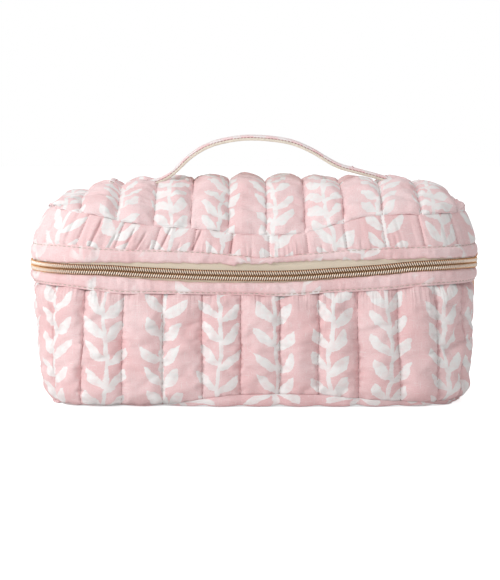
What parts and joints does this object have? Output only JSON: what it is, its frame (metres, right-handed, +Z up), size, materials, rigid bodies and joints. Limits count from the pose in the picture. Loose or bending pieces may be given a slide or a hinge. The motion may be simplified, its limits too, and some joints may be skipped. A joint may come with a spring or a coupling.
{
  "type": "makeup bag",
  "caption": "Quilted cotton box bag with a padded lid that unzips round the front and sides, an arched strap handle and a zip pull.",
  "frame": {"origin": "centre of the base, on the face that the bag stands on", "axes": "+X to the bag's right along its width, -Y out of its front, +Z up"},
  "size_m": [0.291, 0.1445, 0.166],
  "materials": {
    "printed_cotton": "pink cotton with a white block-printed leaf vine, quilted",
    "wadding": "soft polyester wadding",
    "lining_cotton": "plain cream cotton",
    "seam_tape": "cream bias tape",
    "pink_binding": "folded pink cotton",
    "twill_tape": "cream twill zip tape",
    "strap_webbing": "cream twill webbing",
    "copper_coil": "nylon coil with a bright rose-gold coating",
    "rose_gold_metal": "polished rose-gold plate on cast zinc"
  },
  "bodies": {
    "base": {"base_wall_band": "printed_cotton", "base_back_panel": "printed_cotton", "base_bottom_panel": "printed_cotton", "base_wall_wadding": "wadding", "base_back_wadding": "wadding", "base_bottom_wadding": "wadding", "base_wall_lining": "lining_cotton", "base_bottom_lining": "lining_cotton", "bottom_seam_binding": "seam_tape", "lower_binding": "pink_binding", "lower_zip_tape": "twill_tape", "lower_zip_coil": "copper_coil", "lower_top_stop": "rose_gold_metal", "zip_bottom_stop": "rose_gold_metal", "zip_end_tab_left": "pink_binding", "zip_end_tab_right": "pink_binding", "hinge_binding": "pink_binding"},
    "lid": {"lid_top_panel": "printed_cotton", "lid_wall_band": "printed_cotton", "lid_back_panel": "printed_cotton", "lid_top_wadding": "wadding", "lid_wall_wadding": "wadding", "lid_back_wadding": "wadding", "lid_wall_lining": "lining_cotton", "lid_top_lining": "lining_cotton", "lid_seam_binding": "seam_tape", "upper_binding": "pink_binding", "upper_zip_tape": "twill_tape", "upper_zip_coil": "copper_coil", "upper_top_stop": "rose_gold_metal", "handle_end_left": "strap_webbing", "handle_end_right": "strap_webbing"},
    "handle": {"handle_webbing": "strap_webbing", "handle_top_cloth": "pink_binding"},
    "slider": {"zip_slider": "rose_gold_metal", "slider_bridge": "rose_gold_metal"},
    "ring": {"pull_ring": "rose_gold_metal"},
    "pull": {"pull_tab": "rose_gold_metal"}
  },
  "joints": [
    {"name": "lid_hinge", "type": "hinge", "parent": "base", "child": "lid", "pos_m": [0, 0.07, 0.088], "axis": [-1, 0, 0], "range_deg": [0, 100]},
    {"name": "handle_fold", "type": "hinge", "parent": "lid", "child": "handle", "pos_m": [0, 0, 0.142], "axis": [1, 0, 0], "range_deg": [-45, 45], "stiffness_Nm_per_rad": 0.02},
    {"name": "zip_slide", "type": "slide", "parent": "base", "child": "slider", "axis": [0, -1, 0], "range_m": [0, 0.058]},
    {"name": "ring_swing", "type": "hinge", "parent": "slider", "child": "ring", "pos_m": [0.1459, 0.034, 0.088], "axis": [0, -1, 0], "range_deg": [0, 85]},
    {"name": "pull_swing", "type": "hinge", "parent": "ring", "child": "pull", "pos_m": [0.1459, 0.034, 0.08395], "axis": [1, 0, 0], "range_deg": [-80, 80]}
  ]
}
